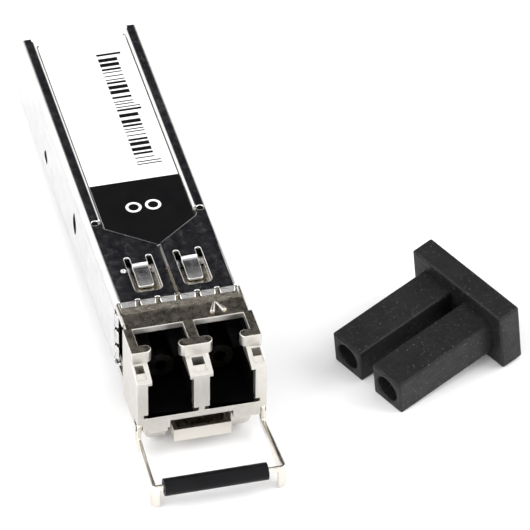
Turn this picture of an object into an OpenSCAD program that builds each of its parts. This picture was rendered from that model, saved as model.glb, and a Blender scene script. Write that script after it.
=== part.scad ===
// Small-form-factor optical transceiver with duplex LC ports, shown with its bail open
// and its dust plug pulled out and laid beside it.
// Frame: +X to the right seen from the ports, +Y towards the card edge, +Z up.
// Origin: centre line, bottom plane of the cover, plane of the nose's front face.

/* [Module envelope] */
// Length from the nose's front face to the rear end
module_len = 56.5; // [56:0.1:57]
// Width of the sheet cover
module_w = 13.4; // [13.3:0.1:13.5]
// Height of the sheet cover
module_h = 8.5; // [8.4:0.1:8.6]
// Thickness of the cover's sheet
sheet_t = 0.3; // [0.25:0.05:0.35]
// Outside radius of the cover's long edges
cover_r = 0.8; // [0.6:0.1:0.9]

/* [Cover] */
// Distance from the nose's front face to the tips of the contact fingers
finger_tip_y = 10.1; // [10:0.1:10.2]
// Inner edge of the top rails beside the label
rail_x = 5.3; // [5.2:0.1:5.4]
// Where the closed top ends at the centre line
apex_y = 19.15; // [18.9:0.1:19.5]
// Where the closed top meets the rails
shoulder_y = 22.9; // [22.6:0.1:23.2]
// Width of the seam along the middle of the top
seam_w = 0.4; // [0.3:0.05:0.5]

/* [Nose] */
// Width of the die-cast nose
nose_w = 13.7; // [13.6:0.1:13.8]
// Height of the nose's top plate above the bottom plane
nose_top = 8.6; // [8.5:0.05:8.7]
// Distance from the front face back to the top plate
plate_front_y = 2.3; // [2.2:0.1:2.5]
// Height of the shelf at the front face
shelf_front_z = 6.4; // [6.3:0.1:6.5]
// Height of the shelf where it meets the top plate
shelf_rear_z = 7.2; // [7.1:0.1:7.2]

/* [Ports] */
// Distance between the two fibre axes
port_pitch = 6.25; // [6.25:0.01:6.25]
// Height of the fibre axes above the bottom plane
port_z = 4.05; // [4:0.05:4.1]
// Radius of the bore that takes a ferrule
ferrule_bore_r = 0.63; // [0.63:0.005:0.64]
// Depth of the ferrule bore
ferrule_bore_len = 4.3; // [4:0.1:4.5]
// Distance from the front face to the tip of the receptacle barrels
barrel_tip_y = 5.2; // [5:0.1:5.4]

/* [Bail] */
// Outside width of the bail
bail_w = 14.2; // [14.1:0.1:14.4]
// Thickness of the bail's strip
bail_t = 0.5; // [0.4:0.05:0.5]
// Height of the bail's hinge axis
bail_pivot_z = 0.2; // [0.1:0.1:0.3]
// Distance of the bail's hinge axis behind the front face
bail_pivot_y = 0.8; // [0.7:0.1:0.9]
// Reach of the open bail in front of the nose
bail_reach = 7.6; // [7.4:0.1:7.8]
// Outside radius of the plastic sleeve
sleeve_r = 0.92; // [0.88:0.02:0.96]
// Length of the plastic sleeve
sleeve_len = 10.9; // [10.8:0.1:11.2]

/* [Latch] */
// Distance of the lever's hinge axis behind the front face
lever_pivot_y = 6; // [5.8:0.1:6.2]
// Height of the lever's hinge axis
lever_pivot_z = 0.35; // [0.3:0.05:0.4]
// Width of the lever's front tray
lever_w = 6.1; // [6:0.1:6.2]
// Width of the latch boss
boss_w = 2.6; // [2.5:0.1:2.7]
// Distance from the front face to the boss's shoulder
boss_y = 11.5; // [11.5:0.1:11.5]

/* [Circuit board] */
// Height of the board's underside above the bottom plane
board_z = 2.25; // [2.2:0.05:2.3]
// Thickness of the board
board_t = 1; // [0.9:0.1:1]
// Distance from the front face to the card edge
card_edge_y = 53.3; // [53.2:0.1:53.4]
// Width of the card edge
card_edge_w = 9.2; // [9.1:0.1:9.3]
// Number of contacts on each side of the card edge
contact_count = 10; // [10:1:10]
// Distance between neighbouring contacts
contact_pitch = 0.8; // [0.8:0.1:0.8]

/* [Dust plug] */
// Width of the plug's flange
plug_w = 13.8; // [13.5:0.1:14]
// Height of the plug's flange
plug_h = 7.45; // [7.25:0.05:7.6]
// Thickness of the plug's flange
plug_t = 2.65; // [2.5:0.05:2.8]
// Length of the plug's two tubes
plug_tube_len = 12.6; // [12.3:0.1:12.8]
// Width of a tube at its tip
plug_tube_w = 4.3; // [4.2:0.1:4.4]
// Height of a tube at its tip
plug_tube_h = 4.2; // [4:0.1:4.3]
// Radius of the hole in each tube
plug_hole_r = 1.45; // [1.35:0.05:1.5]
// Place of the flange's lower edge beside the module
plug_pos = [30.4, 10.55]; // [0:0.05:40]
// Angle of the flange on the table, seen from above
plug_yaw = -63.8; // [-65:0.2:-62]

/* [Hidden] */
$fn = 32;
eps = 0.01;
// Length that takes a cut well past the piece it cuts
past = 2;
half_w = module_w / 2;
half_nose = nose_w / 2;
inner_x = half_w - sheet_t;
cover_in_r = 0.2;
inner_top = module_h - sheet_t;
fit_gap = 0.05;
// Gap between the cover and what fills it
fill_gap = 0.1;
fill_x = inner_x - fill_gap;
fill_low = sheet_t + 0.07;
fill_top = inner_top - 0.08;

// Nose casting
casting_end_y = 15.6;
plate_end_y = finger_tip_y - 0.1;
side_end_y = 6.4;
plate_rear_x = 6.5;
neck_x = 6.05;
neck_end_y = 11;
neck_low = 0.75;
neck_top = 7.75;
cavity_x = 6.1;
cavity_floor = 1.4;
cavity_top = 7.5;
plate_under_z = 7.85;
plate_fall = 0.27;
plate_fall_len = 1.6;
ridge_r = 0.26;
ridge_x = 6.44;
ridge_z = 8.28;
ridge_start_y = 7.3;
front_cavity_end_y = 6.75;
frame_depth = 1;
port_in_x = 0.85;
port_out_x = 5.63;
port_floor = 1.65;
lip_y = 0.12;
undercut_in_x = 0.32;
undercut_out_x = 6.1;
undercut_h = 0.42;
block_z = 5.95;
throat_in_x = 1.22;
throat_out_x = 5.2;
hook_in_x = 1.78;
hook_out_x = 4.67;
hook_rear_y = 3.5;
hook_r = (hook_rear_y - plate_front_y) / 2;
notch_in_x = 0.58;
notch_out_x = 5.85;
notch_rear_y = 6.15;
skirt_x = 5.6;
skirt_face_x = 5.4;
skirt_face_z = -1.45;
skirt_face_y = 1.1;
skirt_step_y = 1.95;
skirt_z = -2.7;
lug_z = -0.3;
lug_front_y = 0.2;
lug_len = 1.4;
lug_w = 0.75;
skirt_top = 0.9;
skirt_len = 7;
skirt_corner_r = 0.8;
channel_x = lever_w / 2 + 0.25;
rear_channel_x = 2;
channel_top = 0.9;
rear_channel_top = 1.1;
leg_room_x = 6.2;
leg_room_z = 0.8;
leg_room_y = 1.6;
corner_cut_z = 0.95;
pocket_in_x = 5.7;
pocket_wall = 0.25;
pocket_front_y = 0.5;
pocket_step_y = 1.35;
pocket_rear_y = plate_front_y - 0.15;
pocket_z = 6.72;
pocket_deep_z = 5.9;
pocket_front_z = 6.35;
arrow_x = 3.42;
arrow_tip_y = 8.75;
arrow_len = 1.95;
arrow_angle = 20;
arrow_tip_r = 0.1;
arrow_foot_r = 0.27;

// Port insert and optics
insert_x = 6;
insert_floor = cavity_floor + fit_gap / 2;
insert_top = 7.4;
insert_front_top = plate_under_z - fit_gap;
insert_step_y = front_cavity_end_y - fit_gap;
insert_end_y = 12.4;
insert_wall = 0.8;
cavity_half = 2.325;
cavity_roof = 6.35;
latch_slot_half = 1;
latch_slot_end_y = 8;
lug_floor_z = 6.95;
neck_r = 1.45;
flange_r = 2.6;
flange_t = 0.8;
body_r = 2.3;
body_end_y = 15.9;
can_bore_r = 1.95;
can_bore_y = 14;
can_r = 1.9;
header_t = 0.8;
lead_r = 0.22;
lead_end_y = 17.4;
lead_circle_r = 1.27;
clamp_gap = 0.05;
clamp_t = 0.85;

// Board and tray
board_start_y = 19;
board_x = 5.6;
step_y = 44;
tray_in_x = 5.75;
tray_floor_t = 0.6;
tray_top = 7.5;
ledge_x = 5;
board_top = board_z + board_t;
pad_t = 0.04;
pad_half = 0.3;
pad_len = 2.6;
pad_rear = 0.4;
chip_w = 0.5;
chip_row_pitch = 1.7;
flex_t = 0.12;
flex_w = 4;

// Deck and label
deck_top = 8.15;
deck_start_y = casting_end_y + fit_gap;
slot_well_y = 17.2;
slot_well_end_y = 17.95;
tongue_well_x = 1.5;
tongue_well_z = 7.6;
label_x = 4.8;
label_end_y = 55.5;
label_t = 0.08;
label_corner_r = 0.5;

// Cover details
finger_count = 6;
finger_pitch = 2.1;
finger_slot_w = 0.5;
finger_hole_r = 0.32;
finger_root_y = 10.6;
finger_bend_y = 10.72;
tip_drop_angle = 32;
side_tip_angle = 22;
tip_len = (finger_bend_y - finger_tip_y) / cos(tip_drop_angle);
tip_corner_r = 0.24;
side_finger_z = [1.1, 3.2, 5.3, 7.4];
tongue_x = 2.63;
tongue_half = 0.98;
cutout_half = 1.45;
cutout_front_y = 12;
cutout_rear_y = 17.45;
tongue_bend_y = 16.55;
cutout_r = 0.6;
tongue_tip_y = 13.4;
tongue_knee_y = 16;
tongue_flat_y = 15.25;
tongue_drop = 0.22;
tongue_tip_drop = 0.55;
tongue_t = 0.25;
tongue_taper = 0.12;
tongue_corner_r = 0.35;
relief_r = 0.28;
corner_hole_r = 0.38;
rail_roll_r = 0.4;
rail_roll_start_y = shoulder_y + 1.6;
groove_half = rail_roll_r + fit_gap;
groove_floor = module_h - rail_roll_r - groove_half;
corner_hole_x = rail_x + 0.35;
corner_hole_y = shoulder_y + 1.15;
dimple_x = -4.56;
dimple_y = 15.65;
dimple_r = 0.24;
dimple_depth = 0.25;
lance_y = [29.3, 43.2];
lance_z = [4.4, 2.7];
lance_half_h = [1.5, 0.9];
lance_half_w = 0.38;
lance_slant = 58;
lance_reach = 1.6;
boss_window_x = 2.1;
boss_window_end_y = 14.7;

// Latch
lever_t = 0.4;
lever_plate_z = -1.7;
lever_front_y = -0.35;
lever_lip_z = -0.15;
lever_arm_z = 0.12;
lever_arm_half = 1.6;
lever_ramp_start_y = 2.6;
lever_ramp_end_y = 4.4;
lever_end_y = 14.2;
hub_r = 0.54;
lever_pin_r = 0.35;
lever_bore_r = lever_pin_r + 0.05;
lever_pin_half = 4.3;
boss_len = 1.9;
spring_start_y = 8.4;
spring_end_y = 13.6;
spring_bend_y = 12.9;
spring_tip_y = 10.2;
spring_tip_len = 0.4;
spring_t = 0.12;
spring_half = 0.9;
spring_top = rear_channel_top - 0.02;
spring_tip_z = lever_arm_z + lever_t + 0.06;
boss_low_z = 0.03;

// Bail
bail_x = bail_w / 2;
bend_r = 0.6;
bail_leg_x = 6.82;
bail_flare = asin((bail_x - bail_leg_x) / (bail_reach + bail_pivot_y - bend_r));
ear_r = 0.5;
bail_pin_r = 0.36;
bail_bore_r = bail_pin_r + 0.04;
bail_pin_in_x = 4.6;
bail_top_z = -1.05;
bail_kink_z = -1.2;
bail_heel_z = -1.95;
bail_toe_z = -3.2;
foot_z = -3.8;
foot_in_x = 6.15;
bar_h = 0.7;
bar_y = -bail_reach + bail_t / 2;
bar_z = bail_top_z - bar_h / 2;
sleeve_shift = -0.35;
sleeve_bore_r = 0.45;

// Table that the open bail props the nose up from
table_drop = -foot_z;
table_run = module_len + bail_reach;
table_angle = atan(table_drop / table_run);
plug_pitch = 7;
plug_hole_len = 10.5;
plug_low_z = 1.45;

// Box given by its two opposite corners
module block(low, high) {
    translate(low)
        cube([for (i = [0:2]) high[i] - low[i]]);
}

// A block and its mirror image across the centre line
module block_pair(low, high) {
    for (side = [0, 1])
        mirror([side, 0, 0])
            block(low, high);
}

// Cylinder along Y
module rod_y(x, z, y0, y1, r) {
    translate([x, y1, z])
        rotate([90, 0, 0])
            cylinder(h = y1 - y0, r = r);
}

// Cylinder along X
module rod_x(y, z, x0, x1, r) {
    translate([x0, y, z])
        rotate([0, 90, 0])
            cylinder(h = x1 - x0, r = r);
}

// Outline in the Y-Z plane, drawn as [y, z] points and extruded along X
module side_profile(points, x0, x1) {
    translate([x0, 0, 0])
        rotate([90, 0, 90])
            linear_extrude(x1 - x0)
                polygon(points);
}

// Rounded rectangle between x = -w/2 and w/2 and between z = 0 and h
module rounded_section(w, h, r) {
    translate([-w / 2 + r, 0])
        square([w - 2 * r, h]);
    translate([-w / 2, r])
        square([w, h - 2 * r]);
    for (x = [-w / 2 + r, w / 2 - r])
        for (z = [r, h - r])
            translate([x, z])
                circle(r);
}

module casting_front() {
    difference() {
        block([-half_nose, 0, 0], [half_nose, plate_end_y, nose_top]);
        // Space above the shelf, in front of the top plate
        side_profile([
            [-past, shelf_front_z], [0, shelf_front_z], [plate_front_y, shelf_rear_z],
            [plate_front_y, nose_top + past], [-past, nose_top + past]
        ], -half_nose - past, half_nose + past);
        // Top plate falls away towards the contact fingers
        side_profile([
            [plate_end_y - plate_fall_len, nose_top], [plate_end_y, nose_top - plate_fall],
            [plate_end_y + past, nose_top - plate_fall], [plate_end_y + past, nose_top + past],
            [plate_end_y - plate_fall_len, nose_top + past]
        ], -half_nose - past, half_nose + past);
        // The sides end well before the cover's fingers, and the top plate narrows there
        block_pair([plate_rear_x, side_end_y, -past],
            [half_nose + past, plate_end_y + past, nose_top + past]);
        block_pair([neck_x, side_end_y, neck_low],
            [half_nose + past, plate_end_y + past, neck_top + fill_gap]);
    }
}

// Stub inside the cover, with a neck that clears the bent fingers
module casting_rear() {
    difference() {
        block([-fill_x, plate_end_y - 1, fill_low], [fill_x, casting_end_y, fill_top]);
        difference() {
            block([-half_w, plate_end_y - past, -past], [half_w, neck_end_y, module_h]);
            block([-neck_x, plate_end_y - past - eps, neck_low], [neck_x, neck_end_y + eps, neck_top]);
        }
    }
}

// Round ridges along the narrow part of the top plate, up to the cover's corners
module corner_ridges() {
    for (x = [-1, 1])
        rod_y(x * ridge_x, ridge_z, ridge_start_y, finger_root_y, ridge_r);
}

// Skirt around the latch lever: a face behind the port frame and a deeper body behind that
module casting_skirt() {
    block([-skirt_face_x, skirt_face_y, skirt_face_z], [skirt_face_x, skirt_step_y + eps, skirt_top]);
    rotate([90, 0, 0])
        translate([0, 0, -skirt_len])
            linear_extrude(skirt_len - skirt_step_y) {
                translate([-skirt_x, skirt_z + skirt_corner_r])
                    square([2 * skirt_x, skirt_top - skirt_z - skirt_corner_r]);
                translate([-skirt_x + skirt_corner_r, skirt_z])
                    square([2 * (skirt_x - skirt_corner_r), skirt_corner_r + eps]);
                for (x = [-1, 1])
                    translate([x * (skirt_x - skirt_corner_r), skirt_z + skirt_corner_r])
                        circle(skirt_corner_r);
            }
    // Lugs that hold the bail's pins
    block_pair([skirt_x - lug_w, lug_front_y, lug_z], [leg_room_x, lug_front_y + lug_len, skirt_top]);
}

// Openings of one port through the front frame and the top plate
module port_openings() {
    block([port_in_x, -past, port_floor], [port_out_x, frame_depth + past, block_z]);
    block([throat_in_x, -past, block_z - eps], [throat_out_x, hook_rear_y + eps, shelf_rear_z]);
    difference() {
        block([hook_in_x - hook_r, -past, port_floor],
            [hook_out_x + hook_r, hook_rear_y + eps, nose_top + past]);
        // What stays: the blocks under the hooks and the hooks' round ends
        block([hook_in_x - hook_r - eps, -past - eps, port_floor - eps],
            [throat_in_x, hook_rear_y + past, nose_top + past + eps]);
        block([throat_out_x, -past - eps, port_floor - eps],
            [hook_out_x + hook_r + eps, hook_rear_y + past, nose_top + past + eps]);
        for (x = [hook_in_x - hook_r, hook_out_x + hook_r])
            translate([x, hook_rear_y - hook_r, shelf_rear_z])
                cylinder(h = nose_top, r = hook_r);
    }
    block([notch_in_x, hook_rear_y, port_floor + past], [notch_out_x, notch_rear_y, nose_top + past]);
    // Floor lowered behind the front edge, where the insert covers it
    block([port_in_x, lip_y, cavity_floor], [port_out_x, frame_depth + past, port_floor + eps]);
    // Undercuts at the foot of the opening
    block([undercut_in_x, -past, port_floor],
        [port_in_x + eps, frame_depth + past, port_floor + undercut_h]);
    block([port_out_x - eps, -past, port_floor],
        [undercut_out_x, frame_depth + past, port_floor + undercut_h]);
}

// Pocket in the shelf: it slopes down towards the front and opens into the hollow at the rear
module shelf_pocket(x0, x1) {
    side_profile([
        [pocket_rear_y, shelf_rear_z + 1], [pocket_rear_y, pocket_deep_z], [pocket_step_y, pocket_deep_z],
        [pocket_step_y, pocket_z], [pocket_front_y, pocket_front_z], [pocket_front_y, shelf_rear_z + 1]
    ], x0, x1);
}

// Raised arrow on the top plate: two half-sunk cones that meet at the tip
module arrow_ridge() {
    for (side = [-1, 1])
        translate([arrow_x, arrow_tip_y, nose_top - 0.03])
            rotate([0, 0, side * arrow_angle])
                rotate([90, 0, 0])
                    cylinder(h = arrow_len, r1 = arrow_tip_r, r2 = arrow_foot_r);
}

// Die-cast nose: port frame, top plate, skirt over the latch lever and stub inside the cover
module nose_housing() {
    color([0.66, 0.62, 0.56])
        difference() {
            union() {
                casting_front();
                casting_rear();
                corner_ridges();
                casting_skirt();
                arrow_ridge();
            }
            // Hollow for the port insert and the optics
            block([-cavity_x, frame_depth, cavity_floor], [cavity_x, hook_rear_y + eps, block_z]);
            block([-cavity_x, hook_rear_y, cavity_floor], [cavity_x, front_cavity_end_y, plate_under_z]);
            block([-cavity_x, hook_rear_y, cavity_floor],
                [cavity_x, casting_end_y + past, cavity_top]);
            for (side = [0, 1])
                mirror([side, 0, 0]) {
                    port_openings();
                    // Room for the bail's leg at the lower front corner
                    rotate([90, 0, 0])
                        translate([0, 0, -leg_room_y])
                            linear_extrude(leg_room_y + past)
                                polygon([
                                    [leg_room_x, -past], [leg_room_x, leg_room_z], [half_nose, corner_cut_z],
                                    [half_nose + past, corner_cut_z], [half_nose + past, -past]
                                ]);
                    shelf_pocket(pocket_in_x, half_nose - pocket_wall);
                    // Pockets under the cover's locking tongues
                    block([tongue_x - 1.3, cutout_front_y + 0.1, tongue_well_z],
                        [tongue_x + 1.3, casting_end_y + past, inner_top + past]);
                    rod_x(bail_pivot_y, bail_pivot_z, bail_pin_in_x - 0.1, leg_room_x + past, bail_bore_r);
                }
            shelf_pocket(-0.62, 0.62);
            // Channel for the latch lever
            block([-channel_x, -past, skirt_z - past], [channel_x, skirt_len + past, channel_top]);
            block([-rear_channel_x, skirt_len - past, -past],
                [rear_channel_x, casting_end_y + past, rear_channel_top]);
            rod_x(lever_pivot_y, lever_pivot_z, -lever_pin_half, lever_pin_half, lever_pin_r);
        }
}

// Black moulded insert with the two connector cavities
module port_insert() {
    color([0.06, 0.06, 0.06])
        difference() {
            union() {
                block([-insert_x, frame_depth + 0.02, insert_floor],
                    [insert_x, hook_rear_y + 0.1, block_z - 0.03]);
                block_pair([port_in_x + 0.02, lip_y + 0.02, insert_floor],
                    [port_out_x - 0.02, frame_depth + 0.1, port_floor]);
                block([-insert_x, hook_rear_y + 0.03, insert_floor], [insert_x, insert_end_y, insert_top]);
                block([-insert_x, hook_rear_y + 0.03, insert_floor],
                    [insert_x, insert_step_y, insert_front_top]);
            }
            for (x = [-port_pitch / 2, port_pitch / 2]) {
                block([x - cavity_half, 0, port_floor],
                    [x + cavity_half, insert_end_y - insert_wall, cavity_roof]);
                // Slot for the plug's latch and the recess where its lugs catch
                block([x - latch_slot_half, 0, port_floor],
                    [x + latch_slot_half, latch_slot_end_y, insert_top + past]);
                block([x - cavity_half, hook_rear_y, lug_floor_z],
                    [x + cavity_half, notch_rear_y + 0.2, insert_top + past]);
                rod_y(x, port_z, insert_end_y - insert_wall - past, insert_end_y + past, neck_r + 0.06);
            }
        }
}

// Receptacle barrel with its ferrule bore, flange and seat for the can
module barrel(x) {
    difference() {
        union() {
            rod_y(x, port_z, barrel_tip_y, insert_end_y + 0.2, neck_r);
            rod_y(x, port_z, insert_end_y + clamp_gap, insert_end_y + clamp_gap + flange_t, flange_r);
            rod_y(x, port_z, insert_end_y + 0.1, body_end_y, body_r);
        }
        rod_y(x, port_z, barrel_tip_y - past, barrel_tip_y + ferrule_bore_len, ferrule_bore_r);
        rod_y(x, port_z, can_bore_y, body_end_y + past, can_bore_r);
    }
}

module transmitter_barrel() {
    color([0.62, 0.6, 0.55])
        barrel(-port_pitch / 2);
}

module receiver_barrel() {
    color([0.62, 0.6, 0.55])
        barrel(port_pitch / 2);
}

// Metal can with its header and four leads
module can(x) {
    rod_y(x, port_z, can_bore_y + 0.1, body_end_y + 0.1, can_r);
    rod_y(x, port_z, body_end_y + 0.02, body_end_y + 0.02 + header_t, body_r);
    for (a = [45:90:315])
        rod_y(x + lead_circle_r * cos(a), port_z + lead_circle_r * sin(a),
            body_end_y + header_t, lead_end_y, lead_r);
}

module transmitter_can() {
    color("goldenrod")
        can(-port_pitch / 2);
}

module receiver_can() {
    color("gold")
        can(port_pitch / 2);
}

// Plate that clamps both flanges against the insert
module osa_clamp() {
    color("silver")
        difference() {
            block([-insert_x, insert_end_y + 2 * clamp_gap + flange_t, insert_floor],
                [insert_x, insert_end_y + 2 * clamp_gap + flange_t + clamp_t, insert_top]);
            for (x = [-port_pitch / 2, port_pitch / 2])
                rod_y(x, port_z, insert_end_y, casting_end_y, body_r + fit_gap);
        }
}

// Flexible circuit from a can's leads down to the top of the board
module flex(x) {
    side_profile([
        [lead_end_y + 0.02, board_top + 0.02], [lead_end_y + 0.02, port_z + 1.9],
        [lead_end_y + 0.02 + flex_t, port_z + 1.9], [lead_end_y + 0.02 + flex_t, board_top + 0.02 + flex_t],
        [board_start_y + 2.2, board_top + 0.02 + flex_t], [board_start_y + 2.2, board_top + 0.02]
    ], x - flex_w / 2, x + flex_w / 2);
}

module transmitter_flex() {
    color("orange")
        flex(-port_pitch / 2);
}

module receiver_flex() {
    color("orange")
        flex(port_pitch / 2);
}

module circuit_board() {
    color("darkgreen") {
        block([-board_x, board_start_y, board_z], [board_x, step_y, board_top]);
        block([-card_edge_w / 2, step_y - eps, board_z], [card_edge_w / 2, card_edge_y, board_top]);
    }
}

// Gold pads on both sides of the card edge
module edge_contacts() {
    color("gold")
        for (i = [0:contact_count - 1]) {
            x = (i - (contact_count - 1) / 2) * contact_pitch;
            for (z = [board_top, board_z - pad_t])
                block([x - pad_half, card_edge_y - pad_rear - pad_len, z],
                    [x + pad_half, card_edge_y - pad_rear, z + pad_t]);
        }
}

// Flat chip package on the board, centred at [x, y]
module chip(x, y, side, h) {
    translate([x - side / 2, y - side / 2, board_top + 0.02])
        cube([side, side, h]);
}

module laser_driver() {
    color("dimgray")
        chip(-2.7, 26, 4, 0.9);
}

module limiting_amplifier() {
    color("dimgray")
        chip(2.9, 26, 3.2, 0.85);
}

module microcontroller() {
    color("dimgray")
        chip(0.4, 36, 5, 1);
}

// Rows of chip resistors and capacitors
module chip_components() {
    color("tan") {
        for (y = [30.5:1.5:40])
            translate([-4.6, y, board_top + 0.02])
                cube([2 * chip_w, chip_w, chip_w]);
        for (y = [22, 42])
            for (i = [-2:2])
                translate([i * chip_row_pitch - chip_w / 2, y, board_top + 0.02])
                    cube([chip_w, 2 * chip_w, chip_w]);
    }
}

// Moulded tray that carries the board inside the cover
module board_tray() {
    color([0.2, 0.2, 0.22]) {
        block([-fill_x, casting_end_y + fit_gap, fill_low],
            [fill_x, module_len - 0.3, fill_low + tray_floor_t]);
        block_pair([tray_in_x, casting_end_y + fit_gap, fill_low + tray_floor_t - eps],
            [fill_x, module_len - 0.3, tray_top]);
        block_pair([ledge_x, board_start_y, fill_low + tray_floor_t - eps],
            [tray_in_x + eps, step_y, board_z]);
    }
}

// Plate between the rails that carries the label
module label_deck() {
    color([0.6, 0.6, 0.6])
        difference() {
            block([-fill_x, deck_start_y, tray_top + 0.02], [fill_x, label_end_y + 0.1, deck_top]);
            // Holes under the round reliefs at the corners of the cover's window
            for (x = [-corner_hole_x, corner_hole_x])
                translate([x, corner_hole_y, 0])
                    cylinder(h = module_h, r = corner_hole_r + 0.1);
            // Grooves beside the rolled edges of the rails
            block_pair([rail_x - groove_half, rail_roll_start_y - fit_gap, groove_floor],
                [rail_x + groove_half, module_len, module_h]);
            // Wells under the locking tongues and under the ends of their slots
            block_pair([tongue_x - tongue_well_x, 0, tongue_well_z],
                [tongue_x + tongue_well_x, slot_well_y, module_h]);
            block_pair([tongue_x - tongue_well_x, slot_well_y - eps, 0],
                [tongue_x + tongue_well_x, slot_well_end_y, module_h]);
        }
}

module label_outline() {
    polygon([
        [0, apex_y + 0.15], [label_x, shoulder_y + 0.1], [label_x, label_end_y - label_corner_r],
        [-label_x, label_end_y - label_corner_r], [-label_x, shoulder_y + 0.1]
    ]);
    translate([-label_x + label_corner_r, label_end_y - label_corner_r - eps])
        square([2 * (label_x - label_corner_r), label_corner_r + eps]);
    for (side = [-1, 1])
        translate([side * (label_x - label_corner_r), label_end_y - label_corner_r])
            circle(label_corner_r);
}

// Self-adhesive label with a pointed front end
module label() {
    color("white")
        translate([0, 0, deck_top])
            linear_extrude(label_t)
                label_outline();
}

// Sheet tube around the whole module
module cover_shell() {
    translate([0, module_len, 0])
        rotate([90, 0, 0])
            linear_extrude(module_len - finger_bend_y)
                difference() {
                    rounded_section(module_w, module_h, cover_r);
                    translate([0, sheet_t])
                        rounded_section(module_w - 2 * sheet_t, module_h - 2 * sheet_t, cover_in_r);
                }
}

// Opening of the top between the rails, with its pointed front end
module label_window() {
    translate([0, 0, inner_top - 0.2])
        linear_extrude(sheet_t + past)
            polygon([
                [0, apex_y], [rail_x - 0.45, shoulder_y], [rail_x, shoulder_y + 0.9],
                [rail_x, module_len + past], [-rail_x, module_len + past],
                [-rail_x, shoulder_y + 0.9], [-rail_x + 0.45, shoulder_y]
            ]);
}

// One locking tongue's cut-out: a pocket in front and two narrow slots beside the tongue's root
module tongue_cutout() {
    slot_x = cutout_half - relief_r;
    translate([tongue_x, 0, inner_top - 0.2])
        linear_extrude(sheet_t + past)
            {
                translate([-cutout_half, cutout_front_y + cutout_r])
                    square([2 * cutout_half, tongue_bend_y - cutout_front_y - cutout_r]);
                translate([-cutout_half + cutout_r, cutout_front_y])
                    square([2 * (cutout_half - cutout_r), 1]);
                for (side = [-1, 1]) {
                    translate([side * (cutout_half - cutout_r), cutout_front_y + cutout_r])
                        circle(cutout_r);
                    translate([side * slot_x - relief_r, tongue_bend_y - eps])
                        square([2 * relief_r, cutout_rear_y - tongue_bend_y + eps]);
                    translate([side * slot_x, cutout_rear_y])
                        circle(relief_r);
                }
            }
}

// Outline of a tongue seen from above: it tapers towards a tip with round corners
module tongue_outline() {
    tip_half = tongue_half - tongue_taper;
    polygon([
        [-tongue_half + 0.1, tongue_bend_y + 0.1], [tongue_half - 0.1, tongue_bend_y + 0.1],
        [tip_half, tongue_tip_y + tongue_corner_r], [tip_half - tongue_corner_r, tongue_tip_y],
        [-tip_half + tongue_corner_r, tongue_tip_y], [-tip_half, tongue_tip_y + tongue_corner_r]
    ]);
    for (side = [-1, 1])
        translate([side * (tip_half - tongue_corner_r), tongue_tip_y + tongue_corner_r])
            circle(tongue_corner_r);
}

// Tongue bent down from the rear of its cut-out in three facets
module tongue() {
    intersection() {
        side_profile([
            [tongue_bend_y + 0.1, module_h - 0.02], [tongue_bend_y, module_h - 0.02],
            [tongue_knee_y, module_h - tongue_drop], [tongue_flat_y, module_h - tongue_drop],
            [tongue_tip_y - eps, module_h - tongue_tip_drop],
            [tongue_tip_y - eps, module_h - tongue_tip_drop - tongue_t],
            [tongue_flat_y, module_h - tongue_drop - tongue_t],
            [tongue_knee_y, module_h - tongue_drop - tongue_t],
            [tongue_bend_y + 0.1, module_h - sheet_t + 0.02]
        ], tongue_x - tongue_half, tongue_x + tongue_half);
        translate([tongue_x, 0, 0])
            linear_extrude(module_h + past)
                tongue_outline();
    }
}

// Lens-shaped lance window in a side wall, cut by two overlapping circles along a slanting line
module lance(y, z, half_h) {
    r = (half_h * half_h + lance_half_w * lance_half_w) / (2 * lance_half_w);
    translate([half_w, y, z])
        rotate([90, 0, 90 - lance_slant])
            translate([0, 0, -lance_reach])
                linear_extrude(2 * lance_reach)
                    intersection() {
                        translate([lance_half_w - r, 0])
                            circle(r, $fn = 96);
                        translate([r - lance_half_w, 0])
                            circle(r, $fn = 96);
                    }
}

// Round heads of the slots that divide the cover's front edge into contact fingers
module finger_slots() {
    for (i = [0:finger_count]) {
        x = (i - finger_count / 2) * finger_pitch;
        translate([x, finger_root_y, -past])
            cylinder(h = module_h + 2 * past, r = finger_hole_r);
    }
    for (z = side_finger_z)
        rod_x(finger_root_y, z, -half_w - past, half_w + past, finger_hole_r);
}

// Flat blank of one finger with its two tip corners rounded, its root edge on the X axis
module finger_blank(width) {
    linear_extrude(sheet_t * 0.8) {
        translate([-width / 2, tip_corner_r - tip_len])
            square([width, tip_len - tip_corner_r]);
        translate([-width / 2 + tip_corner_r, -tip_len])
            square([width - 2 * tip_corner_r, tip_len]);
        for (side = [-1, 1])
            translate([side * (width / 2 - tip_corner_r), tip_corner_r - tip_len])
                circle(tip_corner_r);
    }
}

// Tips of the contact fingers, bent inwards at the top and the bottom and at the sides
module finger_tips() {
    width = finger_pitch - finger_slot_w;
    for (i = [0:finger_count - 1]) {
        x = (i + 0.5 - finger_count / 2) * finger_pitch;
        // The bottom has no fingers where the latch boss passes
        for (upper = abs(x) < boss_window_x ? [1] : [0, 1])
            translate([0, 0, upper * module_h])
                mirror([0, 0, upper])
                    translate([x, finger_bend_y + 0.02, 0])
                        rotate([-tip_drop_angle, 0, 0])
                            finger_blank(width);
    }
    for (i = [0:len(side_finger_z) - 2])
        for (side = [0, 1])
            mirror([side, 0, 0])
                translate([half_w, finger_bend_y + 0.02, (side_finger_z[i] + side_finger_z[i + 1]) / 2])
                    rotate([0, 0, -side_tip_angle])
                        rotate([0, -90, 0])
                            finger_blank(side_finger_z[i + 1] - side_finger_z[i] - finger_slot_w);
}

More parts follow.
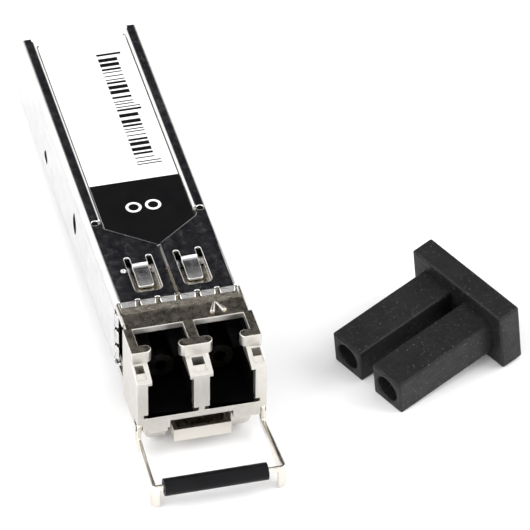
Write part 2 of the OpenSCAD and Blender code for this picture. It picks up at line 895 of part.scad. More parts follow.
// Folded sheet cover: bottom, sides and the two top flaps that meet along the seam
module outer_cover() {
    color([0.75, 0.75, 0.76]) {
        difference() {
            cover_shell();
            label_window();
            block([-seam_w / 2, 0, inner_top - 0.2], [seam_w / 2, apex_y + 1, module_h + past]);
            block([-boss_window_x, 0, -past], [boss_window_x, boss_window_end_y, 1]);
            finger_slots();
            for (side = [0, 1])
                mirror([side, 0, 0]) {
                    tongue_cutout();
                    translate([corner_hole_x, corner_hole_y, inner_top - 0.2])
                        cylinder(h = past, r = corner_hole_r);
                    for (i = [0, 1])
                        lance(lance_y[i], lance_z[i], lance_half_h[i]);
                }
            translate([dimple_x, dimple_y, module_h - dimple_depth])
                cylinder(h = past, r = dimple_r);
        }
        finger_tips();
        for (side = [0, 1])
            mirror([side, 0, 0]) {
                tongue();
                // Rolled inner edge of the rail
                rod_y(rail_x, module_h - rail_roll_r, rail_roll_start_y, module_len - 0.4, rail_roll_r);
            }
    }
}

// Hinge pin of the latch lever
module lever_pin() {
    color("silver")
        rod_x(lever_pivot_y, lever_pivot_z,
            -lever_pin_half + 0.02, lever_pin_half - 0.02, lever_pin_r - 0.005);
}

// Leaf that presses the lever's tail down
module latch_spring() {
    color("lightsteelblue")
        side_profile([
            [spring_start_y, spring_top], [spring_end_y, spring_top],
            [spring_end_y, spring_top - spring_t], [spring_bend_y, spring_top - spring_t],
            [spring_tip_y, spring_tip_z], [spring_tip_y - spring_tip_len, spring_tip_z],
            [spring_bend_y - spring_tip_len, spring_top - spring_t], [spring_start_y, spring_top - spring_t]
        ], -spring_half, spring_half);
}

// Stamped lever: front tray under the ports, hub on the pin, tail with the latch boss
module latch_lever() {
    color([0.78, 0.76, 0.72])
        difference() {
            union() {
                block([-lever_w / 2, lever_front_y, lever_plate_z],
                    [lever_w / 2, lever_ramp_start_y, lever_plate_z + lever_t]);
                block([-lever_w / 2, lever_front_y, lever_plate_z],
                    [lever_w / 2, lever_front_y + lever_t, lever_lip_z]);
                block_pair([lever_w / 2 - lever_t, lever_front_y, lever_plate_z],
                    [lever_w / 2, lever_ramp_start_y - 1, lever_lip_z]);
                side_profile([
                    [lever_ramp_start_y - 0.1, lever_plate_z],
                    [lever_ramp_start_y - 0.1, lever_plate_z + lever_t],
                    [lever_ramp_end_y, lever_arm_z + lever_t], [lever_pivot_y + 1, lever_arm_z + lever_t],
                    [lever_pivot_y + 1, lever_arm_z], [lever_ramp_end_y + 0.2, lever_arm_z]
                ], -lever_w / 2, lever_w / 2);
                block([-lever_arm_half, lever_pivot_y, lever_arm_z],
                    [lever_arm_half, lever_end_y, lever_arm_z + lever_t]);
                rod_x(lever_pivot_y, lever_pivot_z, -lever_w / 2, lever_w / 2, hub_r);
                // Boss with a square shoulder in front and a ramp behind
                side_profile([
                    [boss_y, boss_low_z], [boss_y, lever_arm_z + 0.1],
                    [boss_y + boss_len + 0.4, lever_arm_z + 0.1],
                    [boss_y + boss_len * 0.4, boss_low_z]
                ], -boss_w / 2, boss_w / 2);
            }
            rod_x(lever_pivot_y, lever_pivot_z, -lever_w, lever_w, lever_bore_r);
        }
}

// One side of the bail: ear, leg and arm, which lean inwards, then the rounded front corner and foot
module bail_side() {
    translate([bail_x, -bail_reach + bend_r, 0])
        rotate([0, 0, bail_flare])
            translate([-bail_x, bail_reach - bend_r, 0]) {
                rod_x(bail_pivot_y, bail_pivot_z, bail_x - bail_t, bail_x, ear_r);
                side_profile([
                    [bail_pivot_y - ear_r, bail_pivot_z], [bail_pivot_y + ear_r, bail_pivot_z],
                    [bail_pivot_y + ear_r, bail_heel_z + 0.5], [bail_pivot_y + 0.1, bail_heel_z],
                    [-bail_reach + 1, bail_toe_z], [-bail_reach + bend_r, foot_z + 0.15],
                    [-bail_reach + bend_r, bail_top_z], [bail_pivot_y - ear_r, bail_kink_z]
                ], bail_x - bail_t, bail_x);
            }
    // Rounded corner
    translate([bail_x - bend_r, -bail_reach + bend_r, foot_z])
        rotate([0, 0, -90])
            rotate_extrude(angle = 90)
                translate([bend_r - bail_t, 0])
                    square([bail_t, bail_top_z - foot_z]);
    block([foot_in_x, -bail_reach, foot_z], [bail_x - bend_r + eps, -bail_reach + bail_t, bail_top_z]);
}

// Stamped bail with its crossbar
module bail_strip() {
    color([0.8, 0.78, 0.74])
        difference() {
            union() {
                for (side = [0, 1])
                    mirror([side, 0, 0])
                        bail_side();
                block([-foot_in_x - eps, -bail_reach, bar_z - bar_h / 2],
                    [foot_in_x + eps, -bail_reach + bail_t, bar_z + bar_h / 2]);
            }
            rod_x(bail_pivot_y, bail_pivot_z, -bail_x - past, bail_x + past, bail_pin_r);
        }
}

// Two pins riveted into the bail's ears, turning in the skirt
module bail_pins() {
    color("silver")
        for (side = [0, 1])
            mirror([side, 0, 0])
                rod_x(bail_pivot_y, bail_pivot_z, bail_pin_in_x, bail_leg_x + 0.04, bail_pin_r);
}

// Plastic tube over the crossbar
module bail_sleeve() {
    color([0.05, 0.05, 0.05])
        difference() {
            rod_x(bar_y, bar_z, sleeve_shift - sleeve_len / 2, sleeve_shift + sleeve_len / 2, sleeve_r);
            rod_x(bar_y, bar_z, -sleeve_len, sleeve_len, sleeve_bore_r);
        }
}

// Plug in its own frame: flange front in the plane y = 0, tubes towards -Y
module plug_shape() {
    tube_z = plug_low_z + plug_tube_h / 2;
    difference() {
        union() {
            block([-plug_w / 2, 0, 0], [plug_w / 2, plug_t, plug_h]);
            for (x = [-port_pitch / 2, port_pitch / 2])
                block([x - plug_tube_w / 2, -plug_tube_len, plug_low_z],
                    [x + plug_tube_w / 2, eps, plug_low_z + plug_tube_h]);
        }
        for (x = [-port_pitch / 2, port_pitch / 2])
            rod_y(x, tube_z, -plug_tube_len - past, -plug_tube_len + plug_hole_len, plug_hole_r);
    }
}

// Dust plug lying on the table, its tube tips down
module dust_plug() {
    color([0.12, 0.12, 0.12])
        translate([0, module_len, 0])
            rotate([table_angle, 0, 0])
                translate([plug_pos[0], plug_pos[1] - module_len, 0])
                    rotate([0, 0, plug_yaw])
                        rotate([plug_pitch, 0, 0])
                            plug_shape();
}

nose_housing();
port_insert();
osa_clamp();
transmitter_barrel();
receiver_barrel();
transmitter_can();
receiver_can();
transmitter_flex();
receiver_flex();
circuit_board();
edge_contacts();
laser_driver();
limiting_amplifier();
microcontroller();
chip_components();
board_tray();
label_deck();
outer_cover();
label();
lever_pin();
latch_spring();
latch_lever();
bail_strip();
bail_pins();
bail_sleeve();
dust_plug();
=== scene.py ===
"""Looks of the optical transceiver module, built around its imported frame. Metres, +Z up."""
import math

import bmesh
import bpy
from mathutils import Matrix, Vector


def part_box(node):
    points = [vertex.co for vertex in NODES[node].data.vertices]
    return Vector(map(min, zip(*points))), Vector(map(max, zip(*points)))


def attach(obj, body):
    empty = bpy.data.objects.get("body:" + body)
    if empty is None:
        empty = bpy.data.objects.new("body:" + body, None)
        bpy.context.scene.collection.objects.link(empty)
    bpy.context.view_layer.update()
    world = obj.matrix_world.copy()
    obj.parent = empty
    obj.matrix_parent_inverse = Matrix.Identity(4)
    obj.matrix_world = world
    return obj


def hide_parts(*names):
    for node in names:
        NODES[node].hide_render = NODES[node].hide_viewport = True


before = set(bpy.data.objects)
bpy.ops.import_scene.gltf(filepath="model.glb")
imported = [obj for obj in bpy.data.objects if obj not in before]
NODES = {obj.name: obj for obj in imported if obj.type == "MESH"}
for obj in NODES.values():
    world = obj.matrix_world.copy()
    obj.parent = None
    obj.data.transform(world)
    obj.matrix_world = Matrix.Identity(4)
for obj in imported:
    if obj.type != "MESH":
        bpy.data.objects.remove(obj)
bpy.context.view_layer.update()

MM = 0.001

# How copies of the CAD meshes are cleaned, rounded and shaded
FLAT_DEGREES = 0.6
TINY_EDGE = 1e-6
BLOCKING_EDGE = 1.3
STRAIGHT_ON = -0.77
ROUND_PROFILE = 0.6
SMOOTH_DEGREES = 50
FLAT_SHADED_AREA = 0.3 * MM * MM
FLAT_NORMAL_WEIGHT = 80

# ---------------------------------------------------------------- helpers


def low(node):
    """The lowest corner of a CAD node's box."""
    return Vector(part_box(node)[0])


def high(node):
    """The highest corner of a CAD node's box."""
    return Vector(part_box(node)[1])


def new_piece(name, bm, material, body):
    """Turns a bmesh into a scene object that rides on a body."""
    mesh = bpy.data.meshes.new(name)
    bm.normal_update()
    bm.to_mesh(mesh)
    bm.free()
    obj = bpy.data.objects.new(name, mesh)
    bpy.context.scene.collection.objects.link(obj)
    mesh.materials.append(material)
    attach(obj, body)
    return obj


def smooth_by_angle(bm, degrees):
    """Smooth faces, with a sharp line wherever two of them meet at more than the angle."""
    limit = math.radians(degrees)
    for face in bm.faces:
        face.smooth = True
    for edge in bm.edges:
        if len(edge.link_faces) == 2:
            edge.smooth = edge.calc_face_angle(0.0) < limit
        else:
            edge.smooth = False


def flatten_normals(obj):
    """Keeps large faces flat in the shading and lets only the narrow rounded edges turn."""
    normals = obj.modifiers.new("normals", "WEIGHTED_NORMAL")
    normals.mode = "FACE_AREA"
    normals.weight = FLAT_NORMAL_WEIGHT
    normals.keep_sharp = True


def meets_short_edge(edge, sharp, width):
    """True where a sharp edge ends on a short sharp edge that turns away from it."""
    for vert in edge.verts:
        along = (edge.other_vert(vert).co - vert.co).normalized()
        for other in vert.link_edges:
            if other is edge or other not in sharp or other.calc_length() >= width:
                continue
            turn = (other.other_vert(vert).co - vert.co).normalized()
            if along.dot(turn) > STRAIGHT_ON:
                return True
    return False


def refined(node, name, material, body, bevel=0.06, segments=2, crease=28, weld=0.002,
            inside_corners=True, sharp_beyond_y=None, flat_before_y=None):
    """A copy of a CAD node with rounded edges, which stands for it. Lengths in millimetres.

    Edges wholly beyond "sharp_beyond_y" stay sharp. Larger faces before "flat_before_y" are shaded flat.
    """
    bm = bmesh.new()
    bm.from_mesh(NODES[node].data)
    bmesh.ops.remove_doubles(bm, verts=bm.verts, dist=weld * MM)
    bmesh.ops.dissolve_degenerate(bm, edges=bm.edges, dist=TINY_EDGE)
    bmesh.ops.dissolve_limit(
        bm, angle_limit=math.radians(FLAT_DEGREES), verts=bm.verts, edges=bm.edges)
    limit = math.radians(crease)
    sharp = {e for e in bm.edges
             if len(e.link_faces) == 2 and e.calc_face_angle(0.0) > limit}
    rounded = [e for e in bm.edges
               if e in sharp and not meets_short_edge(e, sharp, BLOCKING_EDGE * bevel * MM)
               and (inside_corners or e.is_convex)
               and not (sharp_beyond_y and all(v.co.y > sharp_beyond_y * MM for v in e.verts))]
    bmesh.ops.bevel(
        bm, geom=rounded, offset=bevel * MM, offset_type="OFFSET", segments=segments,
        profile=ROUND_PROFILE, affect="EDGES", clamp_overlap=False, harden_normals=False)
    smooth_by_angle(bm, SMOOTH_DEGREES)
    if flat_before_y:
        for face in bm.faces:
            in_front = face.calc_center_median().y < flat_before_y * MM
            if in_front and face.calc_area() > FLAT_SHADED_AREA:
                face.smooth = False
    obj = new_piece(name, bm, material, body)
    flatten_normals(obj)
    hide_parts(node)
    return obj


# ---------------------------------------------------------------- materials


class Shader:
    """Small helper that builds a node material step by step."""

    def __init__(self, name):
        self.material = bpy.data.materials.new(name)
        self.material.use_nodes = True
        self.tree = self.material.node_tree
        self.bsdf = self.tree.nodes["Principled BSDF"]
        self.place = self.node("ShaderNodeTexCoord").outputs["Object"]

    def node(self, kind, **settings):
        made = self.tree.nodes.new(kind)
        for key, value in settings.items():
            setattr(made, key, value)
        return made

    def link(self, source, target):
        self.tree.links.new(source, target)

    def mapped(self, scale):
        mapping = self.node("ShaderNodeMapping")
        mapping.inputs["Scale"].default_value = scale
        self.link(self.place, mapping.inputs["Vector"])
        return mapping.outputs["Vector"]

    def noise(self, scale, detail=4.0, rough=0.55, stretch=None):
        noise = self.node("ShaderNodeTexNoise")
        noise.inputs["Scale"].default_value = scale
        noise.inputs["Detail"].default_value = detail
        noise.inputs["Roughness"].default_value = rough
        self.link(self.mapped(stretch) if stretch else self.place, noise.inputs["Vector"])
        return noise.outputs["Fac"]

    def spots(self, scale):
        cells = self.node("ShaderNodeTexVoronoi", feature="F1")
        cells.inputs["Scale"].default_value = scale
        self.link(self.place, cells.inputs["Vector"])
        return cells.outputs["Distance"]

    def span(self, value, from_low, from_high, to_low, to_high):
        node = self.node("ShaderNodeMapRange")
        node.clamp = True
        for key, number in zip(
                ("From Min", "From Max", "To Min", "To Max"),
                (from_low, from_high, to_low, to_high)):
            node.inputs[key].default_value = number
        self.link(value, node.inputs["Value"])
        return node.outputs["Result"]

    def ramp(self, value, stops):
        node = self.node("ShaderNodeValToRGB")
        ramp = node.color_ramp
        while len(ramp.elements) < len(stops):
            ramp.elements.new(0.5)
        for element, (place, colour) in zip(ramp.elements, stops):
            element.position = place
            element.color = (*colour, 1.0)
        self.link(value, node.inputs["Fac"])
        return node.outputs["Color"]

    def math(self, operation, first, second):
        node = self.node("ShaderNodeMath", operation=operation)
        for socket, value in zip(node.inputs, (first, second)):
            if isinstance(value, (int, float)):
                socket.default_value = value
            else:
                self.link(value, socket)
        return node.outputs["Value"]

    def mixed(self, factor, first, second):
        node = self.node("ShaderNodeMix", data_type="RGBA")
        for key, value in (("Factor", factor), ("A", first), ("B", second)):
            if isinstance(value, tuple):
                node.inputs[key].default_value = value
            else:
                self.link(value, node.inputs[key])
        return node.outputs["Result"]

    def upward(self):
        """1 on faces that look up, 0 on walls and undersides."""
        parts = self.node("ShaderNodeSeparateXYZ")
        self.link(self.node("ShaderNodeNewGeometry").outputs["Normal"], parts.inputs["Vector"])
        return self.span(parts.outputs["Z"], 0.95, 0.98, 0.0, 1.0)

    def bump(self, height, strength, distance, after=None):
        node = self.node("ShaderNodeBump")
        node.inputs["Strength"].default_value = strength
        node.inputs["Distance"].default_value = distance
        self.link(height, node.inputs["Height"])
        if after:
            self.link(after, node.inputs["Normal"])
        return node.outputs["Normal"]

    def set(self, **values):
        for key, value in values.items():
            self.bsdf.inputs[key.replace("_", " ")].default_value = value

    def connect(self, **sources):
        for key, source in sources.items():
            self.link(source, self.bsdf.inputs[key.replace("_", " ")])


def metal(name, light, dark, rough_low, rough_high, grain, scratches,
          mottle_scale=420, waves=0.0, upright=None):
    """Plated or bare metal: mottled tint, uneven gloss, fine scratches and a grain.

    With "upright", a darker and a lighter colour, the walls differ from the faces that look up. This
    split is painted light: walls take the lighter colours and tops the darker main ones, a painted shade
    and reflection on one metal.
    """
    s = Shader(name)
    s.set(Metallic=1.0)
    mottle = s.noise(mottle_scale, 5, 0.62)
    fine = s.noise(5200, 3, 0.6)
    blend = s.math("ADD", s.math("MULTIPLY", mottle, 0.75), s.math("MULTIPLY", fine, 0.25))
    base = s.ramp(blend, [(0.34, dark), (0.66, light)])
    # Painted light: faces that look up keep the darker main colours, walls get the lighter upright ones.
    if upright:
        upward = s.upward()
        base = s.mixed(upward, s.ramp(blend, [(0.34, upright[0]), (0.66, upright[1])]), base)
    s.connect(Base_Color=base)
    streaks = s.noise(900, 4, 0.7, stretch=(1.0, 0.06, 1.0))
    gloss = s.math("ADD", s.math("MULTIPLY", s.noise(1300, 4), 0.6),
                   s.math("MULTIPLY", streaks, 0.4))
    rough = s.span(gloss, 0.3, 0.7, rough_low, rough_high)
    if upright:
        rough = s.math("ADD", rough, s.span(upward, 0.0, 1.0, 0.12, 0.0))
    s.connect(Roughness=rough)
    first = s.bump(s.noise(6500, 2), grain, 0.00002)
    if upright:
        height = s.math("MULTIPLY", s.noise(1700, 3, 0.6), upward)
        first = s.bump(height, waves, 0.00012, first)
    cross = s.noise(2600, 3, 0.7, stretch=(0.05, 1.0, 1.0))
    second = s.bump(s.span(cross, 0.58, 0.64, 0.0, 1.0), scratches, 0.00001, first)
    s.connect(Normal=second)
    return s.material


def moulding(name, colour, rough, grain_scale, grain, speck=0.0, shine=0.45):
    """Moulded plastic or film with a fine grain and, where asked for, pale specks."""
    s = Shader(name)
    cloud = s.noise(260, 4)
    dark = tuple(c * 0.75 for c in colour)
    pale = tuple(min(1.0, c * 1.5 + 0.001) for c in colour)
    base = s.ramp(cloud, [(0.3, dark), (0.72, pale)])
    if speck:
        grit = s.math("ADD", s.span(s.spots(1500), 0.07, 0.13, speck, 0.0),
                      s.span(s.noise(4200, 2, 0.7), 0.6, 0.72, 0.0, speck * 0.5))
        dust = s.math("MULTIPLY", grit, s.span(s.noise(350, 3), 0.35, 0.65, 0.15, 1.0))
        base = s.mixed(dust, base, (0.5, 0.5, 0.5, 1.0))
    s.connect(Base_Color=base)
    s.connect(Roughness=s.span(s.noise(900, 4), 0.3, 0.7, rough - 0.08, rough + 0.1))
    first = s.bump(s.noise(grain_scale, 4, 0.65), grain, 0.00006)
    s.connect(Normal=s.bump(s.spots(grain_scale * 0.7), grain * 0.6, 0.00004, first))
    s.set(Specular_IOR_Level=shine)
    return s.material


def paper(name, colour, rough, shine=0.5):
    """Printed film with faint fibre and a satin coat."""
    s = Shader(name)
    cloud = s.noise(700, 5)
    low_colour = tuple(c * 0.94 for c in colour)
    s.connect(Base_Color=s.ramp(cloud, [(0.3, low_colour), (0.7, colour)]))
    s.connect(Roughness=s.span(s.noise(700, 3), 0.3, 0.7, rough - 0.03, rough + 0.04))
    s.connect(Normal=s.bump(s.noise(9000, 2), 0.02, 0.00001))
    s.set(Specular_IOR_Level=shine)
    return s.material


def board_finish(name):
    """Solder mask with darker tracks under it."""
    s = Shader(name)
    tracks = s.noise(650, 2, 0.4, stretch=(1.0, 0.15, 1.0))
    stops = [(0.42, (0.006, 0.07, 0.028)), (0.5, (0.012, 0.13, 0.05)), (0.6, (0.008, 0.09, 0.035))]
    s.connect(Base_Color=s.ramp(tracks, stops))
    s.connect(Roughness=s.span(s.noise(1500, 3), 0.3, 0.7, 0.25, 0.4))
    s.connect(Normal=s.bump(s.span(tracks, 0.46, 0.5, 0.0, 1.0), 0.25, 0.00003))
    return s.material


def floor_finish():
    """A plain pale table, hardly mottled."""
    s = Shader("floor_white")
    stops = [(0.3, (0.86, 0.86, 0.87)), (0.7, (0.9, 0.9, 0.905))]
    s.connect(Base_Color=s.ramp(s.noise(14, 3), stops))
    s.connect(Roughness=s.span(s.noise(60, 3), 0.3, 0.7, 0.65, 0.8))
    return s.material


MATERIALS = {
    # Painted reflection: the casting's tops are dark brown and its walls light grey; the brown stands
    # for the dark surroundings its flat top mirrors.
    "cast": metal("cast_nickel", (0.66, 0.6, 0.5), (0.28, 0.245, 0.19), 0.2, 0.38, 0.12, 0.04,
                  mottle_scale=1500, waves=0.3, upright=((0.62, 0.595, 0.555), (0.68, 0.66, 0.625))),
    "sheet": metal("sheet_nickel", (0.8, 0.795, 0.785), (0.66, 0.655, 0.65), 0.07, 0.27, 0.05, 0.14),
    "deck": metal("deck_nickel", (0.72, 0.7, 0.67), (0.58, 0.56, 0.53), 0.18, 0.3, 0.06, 0.05),
    # Painted shade: the lever's tops, the floor of its open tray, are coloured dark brown against light
    # walls, standing for the shade in the tray's hollow.
    "lever": metal("lever_nickel", (0.4, 0.36, 0.3), (0.2, 0.175, 0.14), 0.2, 0.36, 0.06, 0.06,
                   upright=((0.66, 0.625, 0.575), (0.71, 0.68, 0.63))),
    "bail": metal("bail_nickel", (0.82, 0.78, 0.72), (0.68, 0.64, 0.58), 0.16, 0.3, 0.06, 0.06),
    "steel": metal("spring_steel", (0.6, 0.6, 0.6), (0.5, 0.5, 0.5), 0.22, 0.34, 0.05, 0.1),
    # Painted shade: the barrels are coloured near-black so they sink into the shade deep in the ports.
    "barrel": metal("barrel_metal", (0.03, 0.028, 0.024), (0.008, 0.007, 0.006), 0.3, 0.5, 0.05, 0.1),
    "gold": metal("gold_plate", (0.85, 0.62, 0.25), (0.72, 0.5, 0.18), 0.2, 0.32, 0.04, 0.04),
    "insert": moulding("insert_black", (0.0009, 0.0009, 0.0009), 0.75, 4200, 0.12, shine=0.03),
    "tray": moulding("tray_black", (0.03, 0.03, 0.033), 0.45, 4200, 0.12),
    "chip": moulding("chip_black", (0.02, 0.02, 0.021), 0.4, 5200, 0.1),
    "tan": moulding("chip_tan", (0.34, 0.25, 0.16), 0.45, 5200, 0.1),
    "flex": moulding("flex_film", (0.45, 0.2, 0.04), 0.3, 3000, 0.05),
    "sleeve": moulding("sleeve_black", (0.0022, 0.0022, 0.003), 0.42, 3600, 0.16, shine=0.14),
    "plug": moulding("plug_black", (0.0045, 0.0045, 0.0048), 0.48, 2300, 0.8, speck=0.22, shine=0.28),
    "label": paper("label_white", (0.93, 0.93, 0.93), 0.4),
    "ink": paper("label_ink", (0.003, 0.003, 0.0035), 0.32, shine=0.2),
    "board": board_finish("board_green"),
}

# ---------------------------------------------------------------- CAD nodes that stay

for node, key in {
    "osa_clamp": "steel", "transmitter_barrel": "barrel", "receiver_barrel": "barrel",
    "transmitter_can": "gold", "receiver_can": "gold",
    "transmitter_flex": "flex", "receiver_flex": "flex",
    "circuit_board": "board", "edge_contacts": "gold",
    "laser_driver": "chip", "limiting_amplifier": "chip", "microcontroller": "chip",
    "chip_components": "tan", "board_tray": "tray", "label_deck": "deck",
    "label": "label", "lever_pin": "steel", "latch_spring": "steel",
    "bail_pins": "bail", "port_insert": "insert",
}.items():
    data = NODES[node].data
    data.materials.clear()
    data.materials.append(MATERIALS[key])

# ---------------------------------------------------------------- parts with rounded edges

COVER_REAR_Y = high("outer_cover").y / MM
CONTACT_FINGERS_Y = 10.8

refined("nose_housing", "nose_casting", MATERIALS["cast"], "module", 0.1, 3, weld=0.012,
        inside_corners=False)
refined("outer_cover", "cover_sheet", MATERIALS["sheet"], "module", 0.1, 3,
        sharp_beyond_y=COVER_REAR_Y - 0.01, flat_before_y=CONTACT_FINGERS_Y)
refined("latch_lever", "lever_stamping", MATERIALS["lever"], "lever", 0.06, 2)
refined("bail_strip", "bail_stamping", MATERIALS["bail"], "bail", 0.2, 3)
refined("bail_sleeve", "sleeve_tube", MATERIALS["sleeve"], "bail", 0.08, 2)
refined("dust_plug", "plug_moulding", MATERIALS["plug"], "plug", 0.3, 4,
        inside_corners=False)

# ---------------------------------------------------------------- print on the label


def slab(bm, outline, z, thick):
    """A thin prism over a flat outline of (x, y) points in millimetres."""
    bottom = [bm.verts.new((x * MM, y * MM, z)) for x, y in outline]
    top = [bm.verts.new((x * MM, y * MM, z + thick)) for x, y in outline]
    bm.faces.new(top)
    bm.faces.new(list(reversed(bottom)))
    count = len(outline)
    for i in range(count):
        j = (i + 1) % count
        bm.faces.new((bottom[i], bottom[j], top[j], top[i]))


LABEL_TOP = high("label").z
LABEL_HALF = high("label").x / MM
LABEL_TIP = low("label").y / MM
INK = 0.006 * MM
BLACK_EDGE_Y = 30.4
SHOULDER_Y = 23.0
BARS_START_Y, BARS_END_Y = 32.8, 52.6
BARS_LEFT_X, BARS_RIGHT_X, BARS_GUARD_X = 1.0, 3.1, 3.65
BARS_MIDDLE_Y = (BARS_START_Y + BARS_END_Y) / 2
BAR_WIDTHS = (0.18, 0.36, 0.36, 0.6, 0.18, 0.36, 0.18)
BAR_GAPS = (0.26, 0.3, 0.3, 0.48, 0.34)
FIRST_GUARDS = 2
END_GUARD, MIDDLE_GUARD = 1, 0.5
RING_X, RING_Y = 1.05, 26
RING_IN_R, RING_OUT_R = 0.55, 0.85
RING_SIDES = 32
RING_WELD = 1e-7


def label_black():
    """The label's black end with its pointed front."""
    bm = bmesh.new()
    slab(bm, [(0, LABEL_TIP), (LABEL_HALF, SHOULDER_Y), (LABEL_HALF, BLACK_EDGE_Y),
              (-LABEL_HALF, BLACK_EDGE_Y), (-LABEL_HALF, SHOULDER_Y)], LABEL_TOP, INK)
    return new_piece("label_black", bm, MATERIALS["ink"], "module")


def label_bars():
    """A bar pattern from a simple rule, which stands for no number."""
    bm = bmesh.new()
    y, step = BARS_START_Y, 0
    while y < BARS_END_Y:
        y_end = y + BAR_WIDTHS[(3 * step * step + step) % len(BAR_WIDTHS)]
        at_an_end = step < FIRST_GUARDS or y > BARS_END_Y - END_GUARD
        guard = at_an_end or abs(y - BARS_MIDDLE_Y) < MIDDLE_GUARD
        right = BARS_GUARD_X if guard else BARS_RIGHT_X
        slab(bm, [(BARS_LEFT_X, y), (right, y), (right, y_end), (BARS_LEFT_X, y_end)], LABEL_TOP, INK)
        y = y_end + BAR_GAPS[(step * step + 2 * step) % len(BAR_GAPS)]
        step += 1
    return new_piece("label_bars", bm, MATERIALS["ink"], "module")


def label_mark():
    """Two plain rings, a generic sign for a pair of ports."""
    bm = bmesh.new()
    for x in (-RING_X, RING_X):
        for i in range(RING_SIDES):
            start, end = (2 * math.pi * k / RING_SIDES for k in (i, i + 1))
            corners = ((RING_IN_R, start), (RING_OUT_R, start), (RING_OUT_R, end), (RING_IN_R, end))
            ring = [(x + r * math.cos(t), RING_Y + r * math.sin(t)) for r, t in corners]
            slab(bm, ring, LABEL_TOP + INK, INK)
    bmesh.ops.remove_doubles(bm, verts=bm.verts, dist=RING_WELD)
    return new_piece("label_mark", bm, MATERIALS["label"], "module")


label_black()
label_bars()
label_mark()

# ---------------------------------------------------------------- table, light, camera

FLOOR_DROP = 0.00002
FLOOR_HALF = 3.0
FLOOR_CELLS = 8
TENT_SIDE = 1.55
TENT_TOP = 0.5
TENT_CAP = 1.8
CARD_COLOUR = (0.014, 0.014, 0.018, 1)
CARD_TOWARD = (0.228, 0.974, 0.0)
CARD_ACROSS = (0.974, -0.228, 0.0)
SOFTBOX_SIZE = (0.5, 0.5)
SOFTBOX_TARGET = (0, 0.02, 0)
SOFTBOX_POWER = 2.4

rear_edge = Vector((0, high("outer_cover").y, 0))
foot = Vector((0, low("bail_strip").y, low("bail_strip").z))
along = (rear_edge - foot).normalized()
table_normal = Vector((1, 0, 0)).cross(along)
table = Matrix.Translation(rear_edge - table_normal * FLOOR_DROP) @ Matrix(
    (Vector((1, 0, 0)), along, table_normal)).transposed().to_4x4()


def add_floor():
    """The table, under the rear bottom edge and the open bail's feet."""
    bm = bmesh.new()
    bmesh.ops.create_grid(bm, x_segments=FLOOR_CELLS, y_segments=FLOOR_CELLS, size=FLOOR_HALF)
    bm.transform(table)
    mesh = bpy.data.meshes.new("floor")
    bm.to_mesh(mesh)
    bm.free()
    mesh.materials.append(floor_finish())
    floor = bpy.data.objects.new("floor", mesh)
    bpy.context.scene.collection.objects.link(floor)


def softbox(name, place):
    """An area light whose place is given in the table's own frame."""
    light = bpy.data.lights.new(name, "AREA")
    light.shape = "RECTANGLE"
    light.size, light.size_y = SOFTBOX_SIZE
    light.energy = SOFTBOX_POWER
    obj = bpy.data.objects.new(name, light)
    obj.location = table @ Vector(place)
    direction = (table @ Vector(SOFTBOX_TARGET)) - obj.location
    obj.rotation_euler = direction.to_track_quat("-Z", "Y").to_euler()
    bpy.context.scene.collection.objects.link(obj)


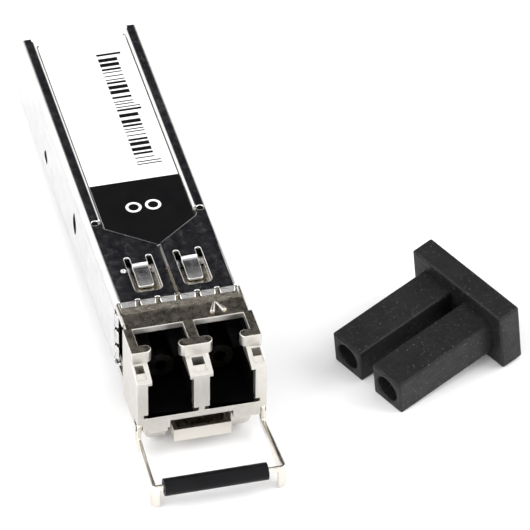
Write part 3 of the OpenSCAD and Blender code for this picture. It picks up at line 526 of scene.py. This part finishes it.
def add_world():
    """A white tent that darkens toward its top, with a bright cap overhead and one dark card.

    The card stands behind the module, whose flat top mirrors it.
    """
    world = bpy.data.worlds.new("studio")
    bpy.context.scene.world = world
    world.use_nodes = True
    tree = world.node_tree

    def node(kind, **settings):
        made = tree.nodes.new(kind)
        for key, value in settings.items():
            setattr(made, key, value)
        return made

    def ramp(source, stops):
        made = node("ShaderNodeValToRGB")
        made.color_ramp.interpolation = "EASE"
        while len(made.color_ramp.elements) < len(stops):
            made.color_ramp.elements.new(0.5)
        for element, (place, value) in zip(made.color_ramp.elements, stops):
            element.position = place
            element.color = (value, value, value, 1)
        tree.links.new(source, made.inputs["Fac"])
        return made.outputs["Color"]

    def times(first, second):
        made = node("ShaderNodeMath", operation="MULTIPLY")
        tree.links.new(first, made.inputs[0])
        tree.links.new(second, made.inputs[1])
        return made.outputs["Value"]

    def along_direction(direction):
        made = node("ShaderNodeVectorMath", operation="DOT_PRODUCT")
        made.inputs[1].default_value = direction
        tree.links.new(sky, made.inputs[0])
        return made.outputs["Value"]

    def over(factor, base, colour):
        made = node("ShaderNodeMix", data_type="RGBA")
        tree.links.new(factor, made.inputs["Factor"])
        tree.links.new(base, made.inputs["A"])
        made.inputs["B"].default_value = colour
        return made.outputs["Result"]

    sky = node("ShaderNodeTexCoord").outputs["Generated"]
    parts = node("ShaderNodeSeparateXYZ")
    tree.links.new(sky, parts.inputs["Vector"])
    height = parts.outputs["Z"]
    toward = along_direction(CARD_TOWARD)

    tent = ramp(height, [(0.0, TENT_SIDE), (0.55, TENT_SIDE), (1.0, TENT_TOP)])
    shifted = node("ShaderNodeMapRange")
    shifted.inputs["From Min"].default_value = -1.0
    tree.links.new(toward, shifted.inputs["Value"])
    overhead = ramp(height, [(0.88, 0), (0.94, 1)])
    in_the_middle = ramp(shifted.outputs["Result"], [(0.455, 0), (0.49, 1), (0.66, 1), (0.72, 0)])
    lit = over(times(overhead, in_the_middle), tent, (TENT_CAP, TENT_CAP, TENT_CAP, 1))

    card_height = ramp(height, [(0.2, 0), (0.33, 1), (0.8, 1), (0.93, 0)])
    card_side = ramp(toward, [(0.12, 0), (0.42, 1)])
    offset = node("ShaderNodeMath", operation="ABSOLUTE")
    tree.links.new(along_direction(CARD_ACROSS), offset.inputs[0])
    card_width = ramp(offset.outputs["Value"], [(0.14, 1), (0.62, 0)])
    card = times(times(card_height, card_side), card_width)
    tree.links.new(over(card, lit, CARD_COLOUR), tree.nodes["Background"].inputs["Color"])


add_floor()
add_world()
softbox("left_softbox", (-0.5, -0.2, 0.45))
softbox("right_softbox", (0.55, -0.1, 0.4))

# Camera that sees the module's known sizes the right way
VIEW_AZIMUTH = math.radians(13.167)
VIEW_ELEVATION = math.radians(39.343)
VIEW_ROLL = math.radians(0.333)
VIEW_DISTANCE = 0.69347
VIEW_TARGET = Vector((0, 0.020, 0.004))
LENS_MM = 450.66
SENSOR_MM = 36
CLIP_NEAR, CLIP_FAR = 0.05, 20
AIM_RIGHT, AIM_UP = 0.016313, 0.001106


def add_camera():
    """The photograph's view: turned round the module, slightly rolled and aimed beside it."""
    back = Vector((-math.sin(VIEW_AZIMUTH) * math.cos(VIEW_ELEVATION),
                   -math.cos(VIEW_AZIMUTH) * math.cos(VIEW_ELEVATION),
                   math.sin(VIEW_ELEVATION)))
    level = Vector((math.cos(VIEW_AZIMUTH), -math.sin(VIEW_AZIMUTH), 0))
    upright = back.cross(level)
    right = level * math.cos(VIEW_ROLL) - upright * math.sin(VIEW_ROLL)
    up = level * math.sin(VIEW_ROLL) + upright * math.cos(VIEW_ROLL)
    ahead = (-back + right * AIM_RIGHT + up * AIM_UP).normalized()
    right = ahead.cross(up).normalized()
    up = right.cross(ahead)
    data = bpy.data.cameras.new("camera")
    data.sensor_width = SENSOR_MM
    data.lens = LENS_MM
    data.clip_start, data.clip_end = CLIP_NEAR, CLIP_FAR
    camera = bpy.data.objects.new("camera", data)
    turn = Matrix((right, up, -ahead)).transposed()
    camera.matrix_world = Matrix.Translation(VIEW_TARGET + back * VIEW_DISTANCE) @ turn.to_4x4()
    bpy.context.scene.collection.objects.link(camera)
    bpy.context.scene.camera = camera


add_camera()
bpy.context.scene.view_settings.view_transform = "Standard"
